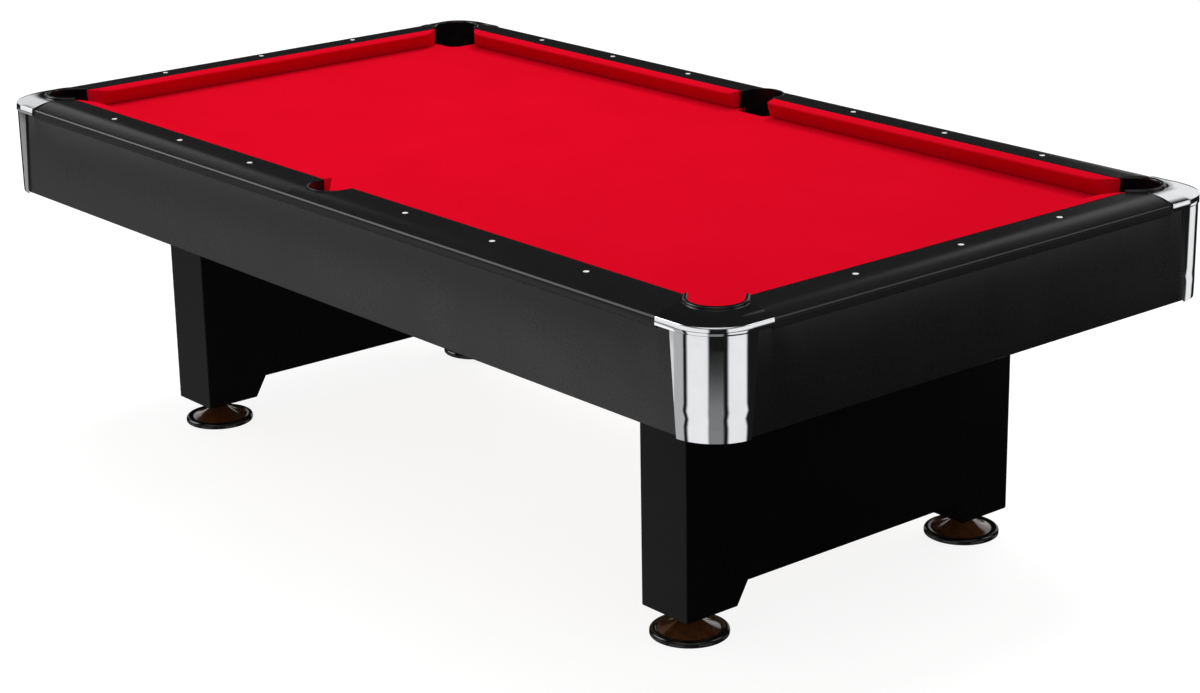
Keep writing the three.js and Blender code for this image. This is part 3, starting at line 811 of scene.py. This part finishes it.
def thread(turn):
    """(r, z) up the stud's side, at a share of a whole turn round it."""
    root, crest, pitch, length, rows = 5.15, 5.95, 2.0, 60.0, 124
    points = []
    for row in range(1, rows):
        z = NECK_TOP + row * (length / rows)
        phase = (z / pitch + turn) % 1.0
        points.append((root + (crest - root) * (1 - abs(2 * phase - 1)), z))
    return points + [(4.6, 111.4), (0, 111.9)]


def leveler(node, x, y):
    shape = Shape()
    foot, steps = foot_profile(), 48
    rings = []
    for i in range(steps):
        a = 2 * math.pi * i / steps
        points = foot + thread(i / steps)
        rings.append([Vector((x + r * math.cos(a), y + r * math.sin(a), z)) * MM for r, z in points])
    shape.loft(rings, closed=False, caps=False, loop=True)
    hub, dish, rim = 13.0, 64.0, 5.0

    def pick(point):
        """The dished cone between the hub and the rim is brown, and the rest black."""
        return 1 if hub < math.hypot(point.x - x, point.y - y) < dish and point.z > rim else 0

    make(f"{node}_foot", shape, [foot_black, foot_brown], [node], body=node, sharp=50.0, pick=pick)


for side, x in (("left", -LEG_X), ("right", LEG_X)):
    for end, y in (("front", -FOOT_Y), ("back", FOOT_Y)):
        leveler(f"leveler_{side}_{end}", x, y)


# CAD nodes that show: softened edges and their own materials
def soften(node, material, width, segments=3):
    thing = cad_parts[node]
    thing.data.materials.clear()
    thing.data.materials.append(material)
    weld = thing.modifiers.new("weld", "WELD")
    weld.merge_threshold = 2e-5
    bevel = thing.modifiers.new("edges", "BEVEL")
    bevel.width = width
    bevel.segments = segments
    bevel.limit_method = "ANGLE"
    bevel.angle_limit = math.radians(38)
    for polygon in thing.data.polygons:
        polygon.use_smooth = False


for side in ("left", "right"):
    soften(f"pedestal_{side}", pedestal_black_painted_shade, 0.0026, 4)
    soften(f"cross_beam_{side}", timber, 0.002)
for side in ("front", "back"):
    soften(f"stringer_{side}", timber, 0.002)
for node in ("bed_board", "bed_board_left", "bed_board_right"):
    soften(node, board, 0.0008, 2)


# Floor, light and camera
def floor():
    size, below = 80.0, 0.0005
    bpy.ops.mesh.primitive_plane_add(size=size, location=(0, 0, -below))
    plane = bpy.context.active_object
    plane.name = "floor"
    m = Nodes("pale_floor").set(Specular_IOR_Level=0.1, Roughness=0.9)
    m.two_tone(m.noise(3.0, 3.0), (0.24, 0.24, 0.24), (0.26, 0.26, 0.26))
    m.set(Emission_Color=(1.0, 1.0, 1.0, 1.0), Emission_Strength=0.86)
    plane.data.materials.append(m.material)
    plane.visible_glossy = False


HORIZON_LIGHT, ZENITH_LIGHT = 0.28, 0.76
DARK_STUDIO = 0.010
# Panels that glossy surfaces reflect: azimuth from, to and softness, then height from, to and softness, then
# strength. Azimuth is a share of a turn: 0 at -X, 0.25 at -Y, 0.5 at +X and 0.75 at +Y
SOFT_BOXES = [
    (-0.020, 0.084, 0.010, -0.60, -0.20, 0.05, 0.32),
    (0.090, 0.114, 0.006, -0.60, -0.22, 0.03, 1.20),
    (0.114, 0.186, 0.006, -0.60, -0.22, 0.03, 0.45),
    (0.212, 0.340, 0.010, -0.60, -0.22, 0.03, 0.92),
    (0.345, 0.428, 0.008, -0.60, -0.325, 0.012, 0.22),
    (0.455, 0.570, 0.010, -0.45, -0.22, 0.03, 0.92),
    (0.668, 0.742, 0.008, -0.36, -0.20, 0.03, 0.90),
    (0.060, 0.345, 0.010, -0.16, 0.02, 0.03, 0.95),
    (0.450, 0.650, 0.010, -0.13, 0.02, 0.03, 0.95),
    (0.775, 0.854, 0.006, 0.02, 0.28, 0.03, 0.88),
    (0.775, 0.850, 0.008, 0.28, 0.56, 0.03, 0.88),
    (0.929, 0.975, 0.005, -0.02, 0.47, 0.03, 0.74),
    (0.030, 0.140, 0.020, 0.32, 0.74, 0.06, 6.50),
    (0.600, 0.700, 0.020, 0.42, 0.78, 0.05, 3.00),
    (0.200, 0.560, 0.030, 0.70, 1.10, 0.06, 1.80),
    (0.810, 0.905, 0.008, -0.60, -0.10, 0.04, 0.85),
    (0.290, 0.470, 0.030, 0.06, 0.56, 0.06, 0.70),
]


def studio():
    """A world that lights softly from above, and shows glossy surfaces dark walls with bright panels."""
    world = bpy.data.worlds.new("studio")
    bpy.context.scene.world = world
    world.use_nodes = True
    tree = world.node_tree
    tree.nodes.clear()

    def add(kind, **values):
        node = tree.nodes.new(kind)
        for key, value in values.items():
            setattr(node, key, value)
        return node

    def calc(operation, *sources):
        node = add("ShaderNodeMath", operation=operation)
        for socket, value in zip(node.inputs, sources):
            if isinstance(value, (int, float)):
                socket.default_value = value
            else:
                tree.links.new(value, socket)
        return node.outputs[0]

    def step(source, start, end, low=0.0, high=1.0):
        node = add("ShaderNodeMapRange", interpolation_type="SMOOTHSTEP")
        values = {"From Min": start, "From Max": end, "To Min": low, "To Max": high}
        for key, value in values.items():
            node.inputs[key].default_value = value
        tree.links.new(source, node.inputs["Value"])
        return node.outputs["Result"]

    def between(source, low, high, soft):
        rise = step(source, low - soft, low + soft)
        return calc("MULTIPLY", rise, step(source, high - soft, high + soft, 1.0, 0.0))

    def blend(factor, a, b):
        return calc("ADD", calc("MULTIPLY", factor, b), calc("MULTIPLY", calc("SUBTRACT", 1.0, factor), a))

    direction = add("ShaderNodeTexCoord").outputs["Generated"]
    split = add("ShaderNodeSeparateXYZ")
    tree.links.new(direction, split.inputs[0])
    x, y, z = split.outputs
    azimuth = calc("ADD", calc("DIVIDE", calc("ARCTAN2", y, x), 2 * math.pi), 0.5)
    reflected = DARK_STUDIO
    for low, high, soft, bottom, top, fade, value in SOFT_BOXES:
        panel = calc("MULTIPLY", between(azimuth, low, high, soft), between(z, bottom, top, fade))
        reflected = calc("ADD", calc("MULTIPLY", panel, value), reflected)
    light = step(z, 0.0, 0.8, HORIZON_LIGHT, ZENITH_LIGHT)
    path = add("ShaderNodeLightPath")
    shown = blend(path.outputs["Is Glossy Ray"], 1.0, reflected)
    seen = blend(path.outputs["Is Diffuse Ray"], shown, light)
    background = add("ShaderNodeBackground")
    tree.links.new(seen, background.inputs["Color"])
    output = add("ShaderNodeOutputWorld")
    tree.links.new(background.outputs[0], output.inputs["Surface"])


studio()
floor()


def lamp(name, kind, strength, place, towards, **values):
    light = bpy.data.lights.new(name, kind)
    light.energy = strength
    for key, value in values.items():
        setattr(light, key, value)
    thing = bpy.data.objects.new(name, light)
    thing.location = place
    thing.rotation_mode = "QUATERNION"
    thing.rotation_quaternion = Vector(towards).to_track_quat("-Z", "Y")
    thing.visible_glossy = False
    bpy.context.scene.collection.objects.link(thing)


lamp("key", "SUN", 1.15, (0, 0, 3), (0.22, -0.50, -0.85), angle=math.radians(24))
lamp("overhead", "AREA", 17.0, (-0.5, 0.0, 2.8), (0, 0, -1), shape="DISK", size=1.8)


def camera():
    """At the photograph's viewing angle: the place and directions were fitted to its sights and feet."""
    place = (4.5112, -3.6580, 2.1962)
    forward = Vector((-0.73014, 0.60866, -0.31053)).normalized()
    right = Vector((0.64437, 0.76453, -0.01655)).normalized()
    up = right.cross(forward).normalized()
    right = forward.cross(up).normalized()
    data = bpy.data.cameras.new("camera")
    data.lens = 81.55
    data.sensor_width = 36.0
    data.clip_end = 200.0
    thing = bpy.data.objects.new("camera", data)
    bpy.context.scene.collection.objects.link(thing)
    thing.matrix_world = Matrix.Translation(place) @ Matrix((right, up, -forward)).transposed().to_4x4()
    bpy.context.scene.camera = thing


camera()
bpy.context.scene.view_settings.view_transform = "Standard"
